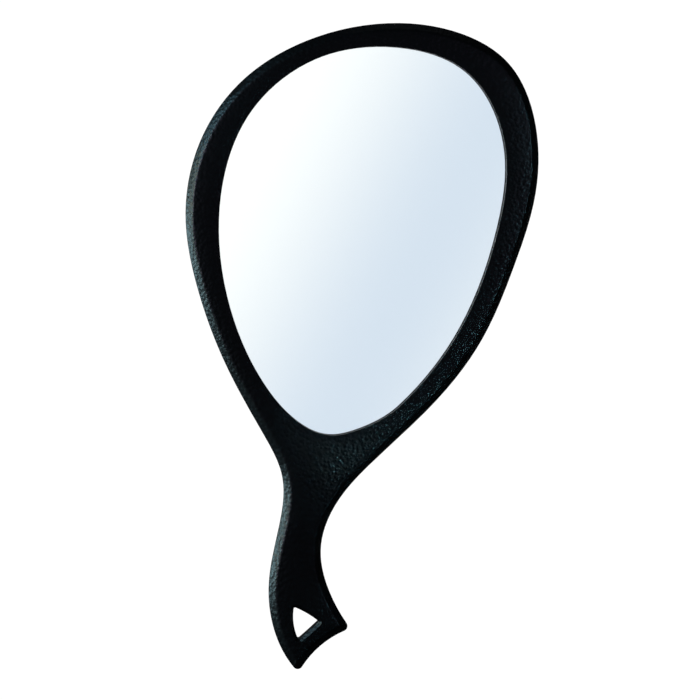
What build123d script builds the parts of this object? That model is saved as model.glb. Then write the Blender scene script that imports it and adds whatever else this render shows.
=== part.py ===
"""Hand mirror: a teardrop head on a curved handle, which ends in a fishtail with a hanging hole.

Two moulded shells meet at the parting plane, y = 0, and hold the glass between them.
The mirror stands upright and faces -Y. The origin is the middle of the grip.
All lengths are in millimetres.
"""
import os
from math import sqrt

from build123d import *

# --- Outline -------------------------------------------------------------------------------
head_width = 210.0
head_length = 273.5  # from the neck to the top of the head
neck_height = 55.0  # from the middle of the grip up to the neck
handle_drop = 74.0  # from the middle of the grip down to the lowest tip
handle_width = 27.5
fishtail_radius = 57.5  # hollow end of the handle
fishtail_cut = 2.7  # how far the fishtail cuts back the flank's ends
tip_radius = 3.2

# Border between the outline and the opening: its narrowest width, and how much wider it is
# at these shares of the flank's length
border = 12.4
border_extras = (
    (0.160, 1.7),
    (0.224, 2.9),
    (0.299, 5.2),
    (0.355, 8.3),
    (0.435, 7.8),
    (0.491, 2.3),
    (0.545, 0.0),
    (0.608, 4.4),
    (0.671, 8.1),
    (0.744, 3.5),
    (0.812, 3.4),
)
chin = 17.8  # from the neck up to the lowest point of the opening
chin_points = ((23.8, 6.8), (4.5, 0.0), (-14.1, 5.0))  # across, and up from the lowest point

# --- Shells --------------------------------------------------------------------------------
front_depth = 6.0  # from the parting plane to the front face
front_edge = 2.0  # upright edge left below the front chamfer
front_chamfer = 4.3  # width of the front chamfer
back_depth = 5.6
back_edge = 2.2
back_chamfer = 3.6
parting_groove = 0.35  # depth and width of the groove round the parting plane
arris_tip_radius = 1.5  # tips of the outline where a chamfer ends
front_arris_rounding = 2.4  # soft edge between the front chamfer and the face
back_arris_rounding = 0.6
lip_rounding = 0.4  # edge of the opening
rim_wall = 4.0  # outer wall of both shells
front_wall = 2.6
back_wall = 2.4
tongue = 1.0  # thickness of the rear shell's locating tongue
tongue_height = 1.2
tongue_clearance = 0.1
back_recess = 0.7  # sunken panel in the back
back_recess_growth = 1.0  # how much wider the panel is than the opening, all round
panel_rib_height = 1.8  # cross ribs inside the back, between the tapes

# --- Glass ---------------------------------------------------------------------------------
lip = 2.0  # thickness of the lip in front of the glass
lip_overlap = 3.0
glass_thickness = 3.0
glass_clearance = 0.3  # all round the glass
recess_wall = 1.6
silver_thickness = 0.1
paint_thickness = 0.1
dab_radius = 4.0
dab_height = 0.6
tape_count = 3
tape_width = 22.0
tape_length = 84.0
tape_pitch = 64.0

# --- Screws --------------------------------------------------------------------------------
screw_radius = 1.3
screw_length = 7.2  # under the head
screw_point = 0.6  # chamfer at the screw's end
screw_head_radius = 2.5
screw_head_height = 1.7
screw_head_rounding = 0.6
drive_length = 2.8  # cross recess in the head
drive_width = 0.7
drive_depth = 1.0
boss_radius = 3.2
rear_boss_radius = 4.0
counterbore_depth = 2.1
counterbore_clearance = 0.25  # round the screw's head
shank_clearance = 0.25  # round the screw in the rear shell
pilot_clearance = 0.3  # beyond the screw's end
boss_gap = 0.2  # between a front boss and the tongue
head_screw_setback = 3.8  # how much nearer the flank than the opening a head screw stays
head_screw_shares = (0.24, 0.345, 0.44, 0.615, 0.69, 0.765)  # along the flank
chin_screw = (3.5, -1.0)  # across, and up from the neck
grip_screw = (-0.5, 14.0)
tail_screw_across = 3.0
tail_screw_gap = 4.0  # from the lower end of the hollow to the rear boss

# --- Ribs in the handle --------------------------------------------------------------------
rib_thickness = 1.2
rib_drop = 2.0  # from the parting plane down to the top of a rib
ribs_between_screws = 2

# --- Hanging hole --------------------------------------------------------------------------
hole_setback = 24.4  # from the line between the flank's ends to the hole's centre
hole_shift = 1.9  # towards the right tip
# Each corner's distance and direction from the centre, and the radius of the bowed side after it
hole_corners = ((11.6, 133.0, 34.0), (11.3, 262.0, 300.0), (9.1, 13.0, 60.0))
hole_corner_radius = 0.9
hole_chamfer = 1.9
hole_chamfer_depth = 1.9
hole_wall = 3.0  # solid ring left round the chamfer
hollow_end_gap = 15.2  # from the hole's centre up to the end of the hollow in the handle


def on_head(across, up):
    """A point from shares of half the head's width and of its length above the neck."""
    return (across * head_width / 2, neck_height + up * head_length)


def on_handle(across, up):
    """A point from shares of half the handle's width and of its length to the neck or the tip."""
    reach = neck_height if up > 0 else handle_drop
    return (across * handle_width / 2, up * reach)


# The flank runs from the right tip up the right side, over the head and down to the left tip.
# Both ends run on past the fishtail, which cuts them off.
flank_points = [
    on_handle(3.04, -0.60),
    on_handle(1.59, -0.27),
    on_handle(0.97, 0.06),
    on_handle(1.27, 0.56),
    on_head(0.342, 0.024),
    on_head(0.641, 0.180),
    on_head(0.837, 0.325),
    on_head(0.957, 0.512),
    on_head(1.004, 0.669),
    on_head(0.933, 0.826),
    on_head(0.707, 0.952),
    on_head(0.352, 0.999),
    on_head(-0.048, 0.987),
    on_head(-0.459, 0.921),
    on_head(-0.792, 0.807),
    on_head(-0.970, 0.658),
    on_head(-0.978, 0.490),
    on_head(-0.847, 0.344),
    on_head(-0.590, 0.174),
    on_head(-0.314, 0.040),
    on_handle(-1.26, 0.77),
    on_handle(-1.02, 0.22),
    on_handle(-1.03, -0.32),
    on_handle(-0.45, -0.69),
    on_handle(1.11, -1.03),
]
with BuildLine() as flank_line:
    Spline(*flank_points)
flank = flank_line.edge()
flank_stations = 96  # points taken along the flank for an even inset

# The fishtail is a disc beyond the line between the flank's ends
end_line = Vector(*flank_points[0]) - Vector(*flank_points[-1])
end_middle = (Vector(*flank_points[0]) + Vector(*flank_points[-1])) / 2
outwards = Vector(end_line.Y, -end_line.X).normalized()
fishtail_reach = sqrt(fishtail_radius**2 - (end_line.length / 2) ** 2) - fishtail_cut
fishtail_centre = end_middle + outwards * fishtail_reach
hole_centre = end_middle - outwards * hole_setback + end_line.normalized() * hole_shift
hollow_end = hole_centre.Y + hollow_end_gap


def beside_flank(share, inset):
    """The point a distance inwards from the flank, at a share of its length."""
    along = flank % share
    return flank @ share + Vector(-along.Y, along.X) * inset


def outline(inset, corner_radius=arris_tip_radius):
    """The mirror's outline, moved inwards by an even distance, with rounded tips."""
    with BuildSketch() as profile:
        with BuildLine():
            edge = Spline(*[beside_flank(n / flank_stations, inset) for n in range(flank_stations + 1)])
            Line(edge @ 1, edge @ 0)
        make_face()
        with Locations(fishtail_centre):
            Circle(fishtail_radius + inset, mode=Mode.SUBTRACT)
        fillet(profile.vertices(), corner_radius)
    return profile.sketch


border_points = [beside_flank(share, border + extra) for share, extra in border_extras]
lowest_points = [Vector(across, neck_height + chin + up) for across, up in chin_points]
with BuildLine() as opening_line:
    Spline(*border_points, *reversed(lowest_points), periodic=True)
opening_edge = opening_line.edge()
opening_stations = 60  # points taken along the opening's edge for an even growth


def beside_opening(share, growth):
    """The point a distance outwards from the opening's edge, at a share of its length."""
    along = opening_edge % share
    return opening_edge @ share + Vector(along.Y, -along.X) * growth


def opening(growth=0.0):
    """The opening in front of the glass, grown outwards by an even distance."""
    points = [beside_opening(n / opening_stations, growth) for n in range(opening_stations)]
    with BuildSketch() as profile:
        with BuildLine():
            Spline(*points, periodic=True)
        make_face()
    return profile.sketch


def hanging_hole(growth=0.0):
    """The three-cornered hanging hole with bowed sides, grown outwards by an even distance."""
    corners = [hole_centre + Vector(reach, 0).rotate(Axis.Z, turn) for reach, turn, _ in hole_corners]
    with BuildSketch() as profile:
        with BuildLine():
            for n, (_, _, side_radius) in enumerate(hole_corners):
                RadiusArc(corners[n], corners[(n + 1) % 3], -side_radius)
        make_face()
        fillet(profile.vertices(), hole_corner_radius)
        if growth:
            offset(amount=growth)
    return profile.sketch


def level(y):
    """The drawing plane at a level of y, seen from the front: right is +X and up is +Z."""
    return Plane.XZ.offset(-y)


def slab(profile, near, far, mode=Mode.ADD):
    """Fill or cut a profile between two levels of y."""
    with BuildSketch(level(near)) as face:
        add(profile)
    extrude(face.sketch, amount=near - far, mode=mode)


def slope(near_profile, near, far_profile, far):
    """Fill between two like profiles at two levels of y, with straight flanks."""
    with BuildSketch(level(near)) as near_face:
        add(near_profile)
    with BuildSketch(level(far)) as far_face:
        add(far_profile)
    loft([near_face.sketch, far_face.sketch], ruled=True)


def discs(points, radius):
    """A sketch of equal discs."""
    with BuildSketch() as profile:
        with Locations(*points):
            Circle(radius)
    return profile.sketch


def above(height, profile):
    """The part of a profile that lies above a height."""
    with BuildSketch() as kept:
        add(profile)
        with Locations((0, height)):
            Rectangle(2 * head_width, 2 * head_length, align=(Align.CENTER, Align.MAX), mode=Mode.SUBTRACT)
    return kept.sketch


def less(profile, *taken):
    """A profile with other ones cut out of it."""
    with BuildSketch() as left:
        add(profile)
        for cut in taken:
            add(cut, mode=Mode.SUBTRACT)
    return left.sketch


def cross_ribs(heights):
    """Ribs straight across the mirror at given heights."""
    with BuildSketch() as ribs:
        with Locations(*[(0, height) for height in heights]):
            Rectangle(2 * head_width, rib_thickness)
    return ribs.sketch


# --- Levels of y, from the front to the back -------------------------------------------------
front_face = -front_depth
front_floor = front_face + front_wall
glass_front = front_face + lip
glass_back = glass_front + glass_thickness
silver_back = glass_back + silver_thickness
paint_back = silver_back + paint_thickness
panel_face = back_depth - back_recess
back_floor = panel_face - back_wall
screw_seat = back_depth - counterbore_depth
screw_end = screw_seat - screw_length

# --- Profiles that several pieces share ------------------------------------------------------
full_outline = outline(0, tip_radius)
front_opening = opening()
glass_outline = opening(lip_overlap)
glass_recess = opening(lip_overlap + glass_clearance)
recess_rim = opening(lip_overlap + glass_clearance + recess_wall)
glass_middle = front_opening.bounding_box().center()

hole_ring = hanging_hole(hole_chamfer + hole_wall)
tongue_inset = rim_wall + tongue_clearance
front_hollow = above(hollow_end, less(outline(rim_wall), hole_ring, recess_rim))
rear_hollow = above(hollow_end, less(outline(tongue_inset + tongue), hole_ring))

head_screw_inset = border - head_screw_setback
tail_screw = Vector(tail_screw_across, hollow_end + tail_screw_gap + rear_boss_radius)
handle_screws = [tail_screw, Vector(*grip_screw), Vector(chin_screw[0], neck_height + chin_screw[1])]
screw_points = [beside_flank(share, head_screw_inset) for share in head_screw_shares] + handle_screws

handle_rib_heights = [
    low.Y + (high.Y - low.Y) * n / (ribs_between_screws + 1)
    for low, high in zip(handle_screws, handle_screws[1:])
    for n in range(1, ribs_between_screws + 1)
]
tape_heights = [glass_middle.Y + tape_pitch * (n - (tape_count - 1) / 2) for n in range(tape_count)]
panel_rib_heights = [tape_heights[0] - tape_pitch / 2] + [height + tape_pitch / 2 for height in tape_heights]

os.makedirs("parts", exist_ok=True)


# --- Front shell: the border round the glass and the front half of the handle ----------------
with BuildPart() as front_frame:
    slab(full_outline, 0, -front_edge)
    slope(full_outline, -front_edge, outline(front_chamfer), front_face)
    fillet(front_frame.faces().sort_by(Axis.Y)[0].edges(), front_arris_rounding)

    # The opening, the recess behind its lip, and the hollow between recess and rim
    slab(front_opening, 0, front_face, Mode.SUBTRACT)
    fillet(front_frame.faces().sort_by(Axis.Y)[0].inner_wires()[0].edges(), lip_rounding)
    slab(glass_recess, 0, glass_front, Mode.SUBTRACT)

    # The hollow leaves screw bosses, and below the rear shell's tongue it leaves ribs as well
    bosses = discs(screw_points, boss_radius)
    ribs = cross_ribs(handle_rib_heights)
    slab(less(front_hollow, bosses), 0, -rib_drop, Mode.SUBTRACT)
    slab(less(front_hollow, bosses, ribs), -rib_drop, front_floor, Mode.SUBTRACT)
    slab(discs(screw_points, screw_radius), 0, screw_end - pilot_clearance, Mode.SUBTRACT)

    # The hanging hole with its chamfer
    slab(hanging_hole(), 0, front_face, Mode.SUBTRACT)
    face = front_frame.faces().sort_by(Axis.Y)[0]
    rim = face.inner_wires().sort_by(SortBy.LENGTH)[0]
    chamfer(rim.edges(), hole_chamfer, hole_chamfer_depth, reference=face)
front_frame.part.label = "front_frame"
export_step(front_frame.part, "parts/front_frame.step")


# --- Rear shell: the closed back of the head and the back half of the handle -----------------
with BuildPart() as rear_cover:
    slab(outline(parting_groove, tip_radius), 0, parting_groove)
    slab(full_outline, parting_groove, back_edge)
    slope(full_outline, back_edge, outline(back_chamfer), back_depth)
    fillet(rear_cover.faces().sort_by(Axis.Y)[-1].edges(), back_arris_rounding)

    # The hanging hole with its chamfer, and the sunken panel
    slab(hanging_hole(), 0, back_depth, Mode.SUBTRACT)
    face = rear_cover.faces().sort_by(Axis.Y)[-1]
    chamfer(face.inner_wires()[0].edges(), hole_chamfer, hole_chamfer_depth, reference=face)
    slab(opening(back_recess_growth), panel_face, back_depth, Mode.SUBTRACT)

    # The tongue that fits in the front shell, and the hollow with its bosses and ribs
    slab(above(hollow_end + tongue_clearance, outline(tongue_inset)), -tongue_height, 0)
    bosses = discs(screw_points, rear_boss_radius)
    ribs = cross_ribs(panel_rib_heights)
    rib_top = back_floor - panel_rib_height
    slab(rear_hollow, -tongue_height, 0, Mode.SUBTRACT)
    slab(discs(screw_points, boss_radius + boss_gap), -tongue_height, 0, Mode.SUBTRACT)
    slab(less(rear_hollow, bosses), 0, rib_top, Mode.SUBTRACT)
    slab(less(rear_hollow, bosses, ribs), rib_top, back_floor, Mode.SUBTRACT)

    # Counterbored screw holes
    counterbore_radius = screw_head_radius + counterbore_clearance
    slab(discs(screw_points, screw_radius + shank_clearance), 0, back_depth, Mode.SUBTRACT)
    slab(discs(screw_points, counterbore_radius), screw_seat, back_depth, Mode.SUBTRACT)
rear_cover.part.label = "rear_cover"
export_step(rear_cover.part, "parts/rear_cover.step")


# --- The mirror: glass, silver and backing paint ---------------------------------------------
with BuildPart() as mirror_glass:
    slab(glass_outline, glass_front, glass_back)
mirror_glass.part.label = "mirror_glass"
export_step(mirror_glass.part, "parts/mirror_glass.step")

with BuildPart() as silver_layer:
    slab(glass_outline, glass_back, silver_back)
silver_layer.part.label = "silver_layer"
export_step(silver_layer.part, "parts/silver_layer.step")

with BuildPart() as backing_paint:
    slab(glass_outline, silver_back, paint_back)
backing_paint.part.label = "backing_paint"
export_step(backing_paint.part, "parts/backing_paint.step")


# --- What holds the glass: dabs of glue at its edge and foam tapes on its back ---------------
dab_points = [beside_flank(share, border + extra - lip_overlap) for share, extra in border_extras[::2]]
with BuildPart() as glue_dabs:
    with BuildSketch() as dab_sketch:
        with Locations(*dab_points):
            Circle(dab_radius)
        add(glass_recess, mode=Mode.INTERSECT)
    slab(dab_sketch.sketch, paint_back, paint_back + dab_height)
glue_dabs.part.label = "glue_dabs"
export_step(glue_dabs.part, "parts/glue_dabs.step")

with BuildPart() as foam_tapes:
    with BuildSketch() as tape_sketch:
        with Locations(*[(glass_middle.X, height) for height in tape_heights]):
            Rectangle(tape_length, tape_width)
    slab(tape_sketch.sketch, paint_back, back_floor)
foam_tapes.part.label = "foam_tapes"
export_step(foam_tapes.part, "parts/foam_tapes.step")


# --- Self-tapping screws that close the shells, with a cross recess in the head --------------
with BuildPart() as cover_screws:
    slab(discs(screw_points, screw_head_radius), screw_seat, screw_seat + screw_head_height)
    fillet(cover_screws.edges().group_by(Axis.Y)[-1], screw_head_rounding)
    slab(discs(screw_points, screw_radius), screw_seat, screw_end)
    chamfer(cover_screws.edges().group_by(Axis.Y)[0], screw_point)
    with BuildSketch() as drive_sketch:
        with Locations(*screw_points):
            Rectangle(drive_length, drive_width)
            Rectangle(drive_width, drive_length)
    head_top = screw_seat + screw_head_height
    slab(drive_sketch.sketch, head_top - drive_depth, head_top, Mode.SUBTRACT)
cover_screws.part.label = "cover_screws"
export_step(cover_screws.part, "parts/cover_screws.step")
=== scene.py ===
import math

import bmesh
import bpy
from mathutils import Matrix, Vector


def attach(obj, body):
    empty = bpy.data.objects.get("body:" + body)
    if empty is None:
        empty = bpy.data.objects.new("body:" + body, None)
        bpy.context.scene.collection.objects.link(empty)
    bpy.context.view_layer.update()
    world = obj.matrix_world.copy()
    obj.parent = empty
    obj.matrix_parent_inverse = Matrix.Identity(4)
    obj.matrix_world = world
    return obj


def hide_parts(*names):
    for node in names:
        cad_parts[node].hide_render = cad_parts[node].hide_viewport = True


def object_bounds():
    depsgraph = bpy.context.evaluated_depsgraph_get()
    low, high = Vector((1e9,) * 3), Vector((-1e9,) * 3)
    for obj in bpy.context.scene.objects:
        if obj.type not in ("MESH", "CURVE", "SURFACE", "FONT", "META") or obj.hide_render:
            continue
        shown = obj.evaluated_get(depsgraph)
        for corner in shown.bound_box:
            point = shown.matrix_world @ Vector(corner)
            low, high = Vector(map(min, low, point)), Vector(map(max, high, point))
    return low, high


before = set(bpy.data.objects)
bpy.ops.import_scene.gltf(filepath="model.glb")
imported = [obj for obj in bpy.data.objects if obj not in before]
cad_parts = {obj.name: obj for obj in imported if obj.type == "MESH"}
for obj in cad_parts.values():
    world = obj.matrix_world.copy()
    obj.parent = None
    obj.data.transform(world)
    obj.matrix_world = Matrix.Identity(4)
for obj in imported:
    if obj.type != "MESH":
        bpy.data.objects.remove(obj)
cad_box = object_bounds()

# ---- Sizes, in metres, in the frame's axes: +X right, -Y towards the viewer, +Z up ----
MM = 0.001
LOW, HIGH = cad_box
CENTRE = (LOW + HIGH) / 2

VIEW_AZIMUTH = -5.5  # degrees; the camera stands a little to the left of the mirror's face
VIEW_ELEVATION = 3.0
VIEW_ROLL = 10.0  # leans the mirror clockwise in the view
VIEW_DISTANCE = 1.8
VIEW_WIDTH = 427.6 * MM  # what the view covers at the mirror
VIEW_AIM = CENTRE + Vector((9.6, 0.0, -2.0)) * MM

FLOOR_DROP = 0.85  # from the handle's tip down to the floor
FLOOR_RADIUS = 4.5

SMOOTH_ANGLE = math.radians(25)  # edges sharper than this stay crisp
SILVER_BITE = 0.02 * MM  # how far the silver bites into the glass, so that nothing lies between the two
MERGE_REACH = 0.002 * MM  # vertices closer than this are one
SHORT_EDGE = 0.001 * MM  # edges shorter than this are dropped

# ---- What the glass mirrors: white that turns pale blue, in the view down and to the right ----
BAND_PERIOD = 0.152  # in the sine of the angle, so that one sweep fills the glass
BAND_SHIFT = 0.0674
BAND_WAY = Vector((0.884, -0.468, 0.0))  # across and up in the view
SKY_STRENGTH = 1.14
WHITE_STRENGTH = 1.05  # what the camera sees behind the mirror
FRONT_GLOW = 0.005  # the soft light on everything else, from the front and from behind
BACK_GLOW = 0.06

# ---- Grain of the plastic ----
PEBBLE = 2.0 * MM  # a little coarser than the real one, which would hardly show
GRIT = 0.45 * MM
GRAIN_WAVES = 4.0 * MM  # the size of the waves that keep the pebbles from standing in rows
GRAIN_SWAY = 0.8 * MM
GRAIN_DEPTH = 0.25 * MM
TONE_PATCH = 30.0 * MM
COAT_DEPTH = 0.02 * MM  # the relief of the other coats and surfaces

# ---- Lamps: name, azimuth and elevation, width and height, power in watts, colour, distance ----
SOFTBOXES = (
    ("left_strip", -66, 3, (0.2, 0.32), 1.9, "#F2FFDC", 1.1),
    ("left_front_strip", -52, 3, (0.2, 0.32), 1.4, "#E1CDFF", 1.1),
    ("left_low_strip", -88, -15, (0.2, 0.32), 3.8, "#C4F3FF", 1.1),
    ("left_high_strip", -66, 20, (0.2, 0.32), 1.9, "#96E0FF", 1.1),
    ("right_fill", 30, 12, (0.2, 0.4), 0.2, "#E0DAFF", 1.1),
    ("top_strip", 0, 85, (0.4, 0.2), 0.05, "#F0F8FF", 1.1),
    ("back_box", 140, -5, (0.9, 0.9), 8.0, "#F4FAFC", 1.8),
)
# Small gridded boxes that pick out the grain: where each is aimed, and its power in watts
KICKERS = (
    ("kicker_head_top", (90, 149), 0.0006),
    ("kicker_head", (96, 106), 0.0006),
    ("kicker_head_low", (93, 44), 0.0008),
    ("kicker_neck_right", (73, -12), 0.0026),
    ("kicker_neck", (40, -54), 0.0026),
    ("kicker_neck_low", (20, -66), 0.0018),
    ("kicker_neck_left", (-17, -71), 0.0008),
    ("kicker_head_left", (-92, 123), 0.0005),
    ("kicker_tail", (10, -182), 0.0005),
)
KICKER_PLACE = (38, 8)  # azimuth and elevation
KICKER_SIZE = (0.04, 0.04)
KICKER_COLOUR = "#9CECFF"
KICKER_DISTANCE = 0.7
KICKER_SPREAD = 9  # degrees


# ---- Colours and nodes ----
def linear(hex_colour):
    """A linear RGBA colour from an sRGB hex value."""
    channels = [int(hex_colour[n:n + 2], 16) / 255 for n in (1, 3, 5)]
    return [c / 12.92 if c <= 0.04045 else ((c + 0.055) / 1.055) ** 2.4 for c in channels] + [1.0]


def add_node(tree, kind, links=None, values=None, **settings):
    """Adds a node with its settings, its socket values and its incoming links."""
    node = tree.nodes.new(kind)
    for name, value in settings.items():
        setattr(node, name, value)
    for socket, value in (values or {}).items():
        node.inputs[socket].default_value = value
    for socket, source in (links or {}).items():
        tree.links.new(source, node.inputs[socket])
    return node


def new_material(name):
    """A material with an empty node tree and its output node."""
    material = bpy.data.materials.new(name)
    material.use_nodes = True
    material.node_tree.nodes.clear()
    output = add_node(material.node_tree, "ShaderNodeOutputMaterial")
    return material, material.node_tree, output


# ---- Camera, floor, lights and world ----
def direction(azimuth, elevation):
    """The unit vector from the mirror towards a place round it; azimuth 0 is in front of the glass."""
    a, e = math.radians(azimuth), math.radians(elevation)
    return Vector((math.sin(a) * math.cos(e), -math.cos(a) * math.cos(e), math.sin(e)))


def make_camera():
    """A camera that looks at the whole mirror from just left of its face."""
    data = bpy.data.cameras.new("camera")
    data.sensor_width = 36.0
    data.lens = data.sensor_width * VIEW_DISTANCE / VIEW_WIDTH
    camera = bpy.data.objects.new("camera", data)
    bpy.context.scene.collection.objects.link(camera)
    back = direction(VIEW_AZIMUTH, VIEW_ELEVATION)
    turn = (-back).to_track_quat("-Z", "Y").to_matrix() @ Matrix.Rotation(math.radians(VIEW_ROLL), 3, "Z")
    camera.matrix_world = Matrix.Translation(VIEW_AIM + back * VIEW_DISTANCE) @ turn.to_4x4()
    bpy.context.scene.camera = camera
    return camera


def make_floor():
    """A plain pale studio floor well below the mirror, which is held up by its grip; it fades to white."""
    mesh = bmesh.new()
    bmesh.ops.create_circle(mesh, cap_ends=True, segments=64, radius=FLOOR_RADIUS)
    bmesh.ops.translate(mesh, vec=(0, 0, LOW.z - FLOOR_DROP), verts=mesh.verts)
    floor = bpy.data.objects.new("floor", bpy.data.meshes.new("floor"))
    mesh.to_mesh(floor.data)
    mesh.free()
    bpy.context.scene.collection.objects.link(floor)
    material, tree, output = new_material("pale_floor_paint")
    coords = add_node(tree, "ShaderNodeTexCoord")
    mottle = add_node(
        tree, "ShaderNodeTexNoise", {"Vector": coords.outputs["Object"]}, {"Scale": 3.0, "Detail": 4.0}
    )
    tone = add_node(tree, "ShaderNodeMix", {"Factor": mottle.outputs["Fac"]}, data_type="RGBA")
    tone.inputs["A"].default_value = linear("#EEF0F1")
    tone.inputs["B"].default_value = linear("#F4F5F5")
    reach = add_node(tree, "ShaderNodeVectorMath", {0: coords.outputs["Object"]}, operation="LENGTH")
    fade = add_node(
        tree, "ShaderNodeMapRange", {"Value": reach.outputs["Value"]}, interpolation_type="SMOOTHSTEP"
    )
    fade.inputs["From Min"].default_value = FLOOR_RADIUS / 4
    fade.inputs["From Max"].default_value = FLOOR_RADIUS
    paint = add_node(
        tree, "ShaderNodeMix", {"Factor": fade.outputs["Result"], "A": tone.outputs["Result"]},
        data_type="RGBA",
    )
    paint.inputs["B"].default_value = linear("#FFFFFF")
    shader = add_node(
        tree, "ShaderNodeBsdfPrincipled",
        {"Base Color": paint.outputs["Result"], "Emission Color": paint.outputs["Result"]},
        {"Roughness": 0.7, "Emission Strength": 1.0},
    )
    tree.links.new(shader.outputs["BSDF"], output.inputs["Surface"])
    floor.data.materials.append(material)
    floor.visible_diffuse = False
    floor.visible_glossy = False
    floor.visible_transmission = False


def make_softbox(name, azimuth, elevation, size, power, colour, distance, aim=(0, 0), spread=180):
    """A softbox that faces the mirror; aim is in mm from its middle, and a low spread is a grid."""
    data = bpy.data.lights.new(name, "AREA")
    data.shape = "RECTANGLE"
    data.size, data.size_y = size
    data.energy = power
    data.color = linear(colour)[:3]
    data.spread = math.radians(spread)
    lamp = bpy.data.objects.new(name, data)
    bpy.context.scene.collection.objects.link(lamp)
    back = direction(azimuth, elevation)
    place = CENTRE + Vector((aim[0], 0, aim[1])) * MM + back * distance
    lamp.matrix_world = Matrix.Translation(place) @ (-back).to_track_quat("-Z", "Y").to_matrix().to_4x4()
    lamp.visible_camera = False


def make_world(camera):
    """A white studio. What a polished surface mirrors runs softly from white to pale blue and back."""
    world = bpy.data.worlds.new("studio")
    world.use_nodes = True
    tree = world.node_tree
    tree.nodes.clear()
    coords = add_node(tree, "ShaderNodeTexCoord")

    # The way in which the reflected studio turns blue
    axes = camera.matrix_world.to_3x3()
    across = axes @ BAND_WAY
    mirrored = Vector((across.x, -across.y, across.z)).normalized()
    view = axes @ Vector((0.0, 0.0, -1.0))
    start = Vector((view.x, -view.y, view.z)).dot(mirrored)
    band = add_node(tree, "ShaderNodeVectorMath", {0: coords.outputs["Generated"]}, operation="DOT_PRODUCT")
    band.inputs[1].default_value = mirrored
    phase = add_node(tree, "ShaderNodeMath", {0: band.outputs["Value"]}, operation="MULTIPLY_ADD")
    phase.inputs[1].default_value = 2 * math.pi / BAND_PERIOD
    phase.inputs[2].default_value = -2 * math.pi * (start - BAND_SHIFT) / BAND_PERIOD
    wave = add_node(tree, "ShaderNodeMath", {0: phase.outputs["Value"]}, operation="COSINE")
    share = add_node(tree, "ShaderNodeMapRange", {"Value": wave.outputs["Value"]})
    share.inputs["From Min"].default_value = 1.0
    share.inputs["From Max"].default_value = -1.0
    mirrored_sky = add_node(tree, "ShaderNodeMix", {"Factor": share.outputs["Result"]}, data_type="RGBA")
    mirrored_sky.inputs["A"].default_value = linear("#FFFFFF")
    mirrored_sky.inputs["B"].default_value = linear("#D3DDEB")

    # Soft light on everything else, brighter from behind, which draws the rims
    upright = add_node(tree, "ShaderNodeSeparateXYZ", {"Vector": coords.outputs["Generated"]})
    behind = add_node(
        tree, "ShaderNodeMapRange", {"Value": upright.outputs["Y"]}, interpolation_type="SMOOTHSTEP"
    )
    behind.inputs["From Min"].default_value = 0.0
    behind.inputs["From Max"].default_value = 0.6
    behind.inputs["To Min"].default_value = FRONT_GLOW
    behind.inputs["To Max"].default_value = BACK_GLOW

    path = add_node(tree, "ShaderNodeLightPath")
    white = add_node(
        tree, "ShaderNodeBackground", values={"Color": linear("#FFFFFF"), "Strength": WHITE_STRENGTH}
    )
    sky = add_node(
        tree, "ShaderNodeBackground", {"Color": mirrored_sky.outputs["Result"]}, {"Strength": SKY_STRENGTH}
    )
    glow = add_node(
        tree, "ShaderNodeBackground", {"Strength": behind.outputs["Result"]}, {"Color": linear("#EAF4F8")}
    )
    shiny = add_node(
        tree, "ShaderNodeMixShader",
        {0: path.outputs["Is Singular Ray"], 1: glow.outputs[0], 2: sky.outputs[0]},
    )
    seen = add_node(
        tree, "ShaderNodeMixShader",
        {0: path.outputs["Is Camera Ray"], 1: shiny.outputs[0], 2: white.outputs[0]},
    )
    add_node(tree, "ShaderNodeOutputWorld", {"Surface": seen.outputs[0]})
    bpy.context.scene.world = world


# ---- Materials ----
def grained_abs(name):
    """Black ABS moulded against an etched tool: a pebbled leather grain that scatters a dull, cool sheen."""
    material, tree, output = new_material(name)
    coords = add_node(tree, "ShaderNodeTexCoord")
    warp = add_node(
        tree, "ShaderNodeTexNoise", {"Vector": coords.outputs["Object"]},
        {"Scale": 1 / GRAIN_WAVES, "Detail": 2.0},
    )
    bent = add_node(
        tree, "ShaderNodeVectorMath", {0: warp.outputs["Color"], 2: coords.outputs["Object"]},
        operation="MULTIPLY_ADD",
    )
    bent.inputs[1].default_value = (GRAIN_SWAY,) * 3
    pebbles = add_node(tree, "ShaderNodeTexVoronoi", {"Vector": bent.outputs["Vector"]}, feature="SMOOTH_F1")
    pebbles.inputs["Scale"].default_value = 1 / PEBBLE
    pebbles.inputs["Smoothness"].default_value = 0.6
    grit = add_node(
        tree, "ShaderNodeTexNoise", {"Vector": coords.outputs["Object"]}, {"Scale": 1 / GRIT, "Detail": 3.0}
    )
    height = add_node(
        tree, "ShaderNodeMath", {0: grit.outputs["Fac"], 2: pebbles.outputs["Distance"]},
        operation="MULTIPLY_ADD",
    )
    height.inputs[1].default_value = 0.2
    relief = add_node(
        tree, "ShaderNodeBump", {"Height": height.outputs["Value"]},
        {"Strength": 1.0, "Distance": GRAIN_DEPTH}, invert=True,
    )
    patches = add_node(
        tree, "ShaderNodeTexNoise", {"Vector": coords.outputs["Object"]},
        {"Scale": 1 / TONE_PATCH, "Detail": 3.0},
    )
    tone = add_node(tree, "ShaderNodeMix", {"Factor": patches.outputs["Fac"]}, data_type="RGBA")
    tone.inputs["A"].default_value = linear("#060709")
    tone.inputs["B"].default_value = linear("#0B0D10")
    gloss = add_node(tree, "ShaderNodeMapRange", {"Value": grit.outputs["Fac"]})
    gloss.inputs["To Min"].default_value = 0.32
    gloss.inputs["To Max"].default_value = 0.44
    shader = add_node(
        tree, "ShaderNodeBsdfPrincipled",
        {
            "Base Color": tone.outputs["Result"], "Roughness": gloss.outputs["Result"],
            "Normal": relief.outputs["Normal"],
        },
        {"IOR": 1.54},
    )
    tree.links.new(shader.outputs["BSDF"], output.inputs["Surface"])
    return material


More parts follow.
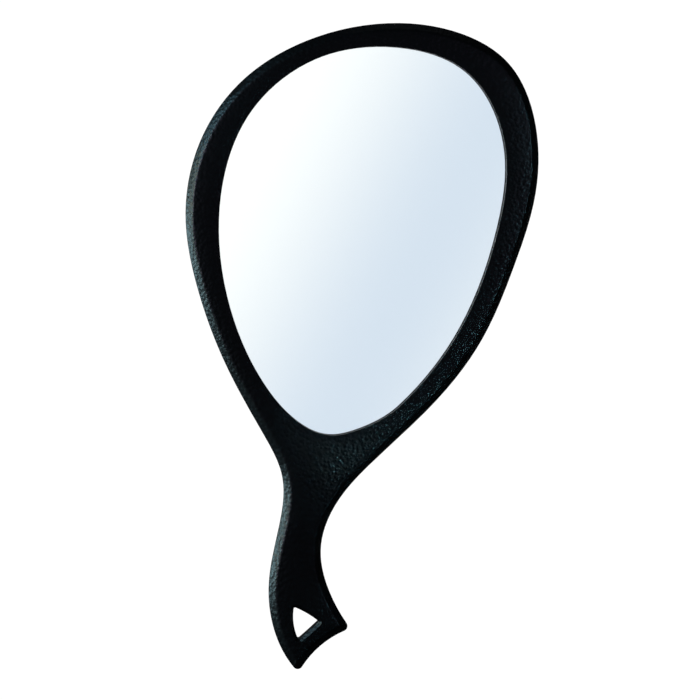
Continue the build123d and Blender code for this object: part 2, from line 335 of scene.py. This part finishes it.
def float_glass():
    """Clear float glass, polished on both faces: it adds a faint reflection of its own and a hint of green."""
    material, tree, output = new_material("float_glass")
    shader = add_node(tree, "ShaderNodeBsdfPrincipled", values={
        "Base Color": linear("#FBFEFD"), "Roughness": 0.0, "IOR": 1.52, "Transmission Weight": 1.0})
    tree.links.new(shader.outputs["BSDF"], output.inputs["Surface"])
    return material


def mirror_silver():
    """Chemically deposited silver on the glass's back: a flawless mirror that gives back nearly all the light."""
    material, tree, output = new_material("mirror_silver")
    shader = add_node(tree, "ShaderNodeBsdfPrincipled", values={
        "Base Color": linear("#F8F9F8"), "Roughness": 0.0, "Metallic": 1.0})
    tree.links.new(shader.outputs["BSDF"], output.inputs["Surface"])
    return material


def plain_coat(name, dark, light, roughness, grain, metallic=0.0):
    """An even coat or moulded surface with fine mottling; grain is the mottling's size in metres."""
    material, tree, output = new_material(name)
    coords = add_node(tree, "ShaderNodeTexCoord")
    mottle = add_node(
        tree, "ShaderNodeTexNoise", {"Vector": coords.outputs["Object"]}, {"Scale": 1 / grain, "Detail": 4.0}
    )
    tone = add_node(tree, "ShaderNodeMix", {"Factor": mottle.outputs["Fac"]}, data_type="RGBA")
    tone.inputs["A"].default_value = linear(dark)
    tone.inputs["B"].default_value = linear(light)
    relief = add_node(
        tree, "ShaderNodeBump", {"Height": mottle.outputs["Fac"]}, {"Strength": 0.4, "Distance": COAT_DEPTH}
    )
    shader = add_node(
        tree, "ShaderNodeBsdfPrincipled",
        {"Base Color": tone.outputs["Result"], "Normal": relief.outputs["Normal"]},
        {"Roughness": roughness, "Metallic": metallic},
    )
    tree.links.new(shader.outputs["BSDF"], output.inputs["Surface"])
    return material


# ---- The shells and the silver ----
def smooth_copy(node, name, forward=0.0):
    """A finished copy of a CAD piece: one closed skin, smooth over its curves and crisp at its edges."""
    skin = bmesh.new()
    skin.from_mesh(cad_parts[node].data)
    bmesh.ops.remove_doubles(skin, verts=skin.verts, dist=MERGE_REACH)
    bmesh.ops.dissolve_degenerate(skin, edges=skin.edges, dist=SHORT_EDGE)
    bmesh.ops.translate(skin, vec=(0, -forward, 0), verts=skin.verts)
    for face in skin.faces:
        face.smooth = True
    for edge in skin.edges:
        edge.smooth = len(edge.link_faces) == 2 and edge.calc_face_angle() < SMOOTH_ANGLE
    piece = bpy.data.objects.new(name, bpy.data.meshes.new(name))
    skin.to_mesh(piece.data)
    skin.free()
    bpy.context.scene.collection.objects.link(piece)
    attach(piece, "root")
    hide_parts(node)
    return piece


def dress(piece, material):
    """Gives a piece its material in every slot."""
    if not piece.material_slots:
        piece.data.materials.append(material)
    for material_slot in piece.material_slots:
        material_slot.material = material


# ---- The studio ----
camera = make_camera()
make_floor()
make_world(camera)
for softbox in SOFTBOXES:
    make_softbox(*softbox)
for name, aim, power in KICKERS:
    make_softbox(name, *KICKER_PLACE, KICKER_SIZE, power, KICKER_COLOUR, KICKER_DISTANCE, aim, KICKER_SPREAD)
bpy.context.scene.view_settings.view_transform = "Standard"

# ---- The mirror ----
dress(smooth_copy("front_frame", "front_shell"), grained_abs("grained_black_abs_front"))
dress(smooth_copy("rear_cover", "rear_shell"), grained_abs("grained_black_abs_back"))
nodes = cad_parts
dress(nodes["mirror_glass"], float_glass())
dress(smooth_copy("silver_layer", "silver_film", SILVER_BITE), mirror_silver())
# Grey lacquer that seals the silver: an even satin coat
dress(nodes["backing_paint"], plain_coat("grey_backing_lacquer", "#55595B", "#5E6264", 0.35, 6 * MM))
# Cooled hot-melt glue: waxy and amber
dress(nodes["glue_dabs"], plain_coat("hot_melt_glue", "#CDBF96", "#DCD0AC", 0.4, 2 * MM))
# Closed-cell foam: dull white with fine pores
dress(nodes["foam_tapes"], plain_coat("white_foam_tape", "#D2D2CE", "#E6E6E2", 0.9, 0.4 * MM))
# Zinc-plated steel: small bright points in the dark back
dress(nodes["cover_screws"], plain_coat("zinc_plated_steel", "#A9ABAE", "#C3C5C8", 0.32, 0.6 * MM, 1.0))
